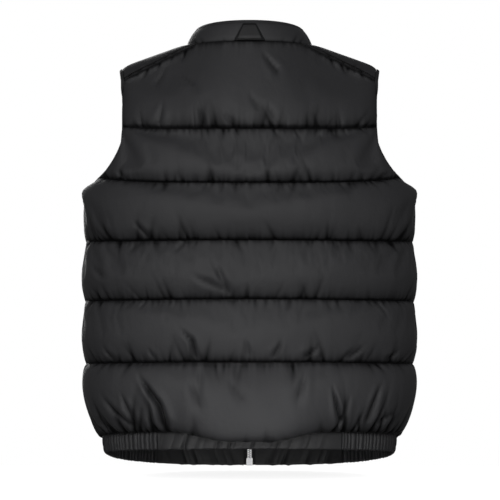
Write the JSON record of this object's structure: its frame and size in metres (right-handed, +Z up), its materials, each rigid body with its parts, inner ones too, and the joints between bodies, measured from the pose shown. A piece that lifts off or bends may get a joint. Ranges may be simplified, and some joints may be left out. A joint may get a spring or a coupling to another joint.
{
  "type": "puffer vest",
  "caption": "Hollow padded vest with horizontal quilted channels, stand collar, zipped front, bound armholes and an elastic hem; worn over the torso.",
  "frame": {"origin": "midway between the middles of the two shoulders, at the height of the shoulder ridges' middles, where the vest is carried", "axes": "+Z up towards the collar, -Y out of the zipped front, +X towards the wearer's left"},
  "size_m": [0.5478, 0.3048, 0.6959],
  "materials": {
    "shell_cloth": "black nylon with a soft sheen",
    "trim_cloth": "black nylon, matt",
    "elastic_cloth": "black nylon gathered over elastic",
    "zip_tape": "black woven tape",
    "silver_metal": "polished silver"
  },
  "bodies": {
    "vest": {"back_panel": "shell_cloth", "front_left": "shell_cloth", "front_right": "shell_cloth", "shoulder_left": "shell_cloth", "shoulder_right": "shell_cloth", "collar": "shell_cloth", "collar_tab": "trim_cloth", "armhole_binding_left": "trim_cloth", "armhole_binding_right": "trim_cloth", "hem_band_back": "trim_cloth", "hem_band_front_left": "trim_cloth", "hem_band_front_right": "trim_cloth", "hem_elastic_left": "elastic_cloth", "hem_elastic_right": "elastic_cloth", "zip_tape_left": "zip_tape", "zip_tape_right": "zip_tape", "zip_teeth": "silver_metal", "zip_box": "silver_metal", "zip_slider": "silver_metal"},
    "pull_tab": {"zip_pull": "silver_metal"}
  },
  "joints": [
    {"name": "pull_tab_swing", "type": "hinge", "parent": "vest", "child": "pull_tab", "pos_m": [0, -0.08586, -0.02717], "axis": [-1, 0, 0], "range_deg": [0, 160]}
  ]
}
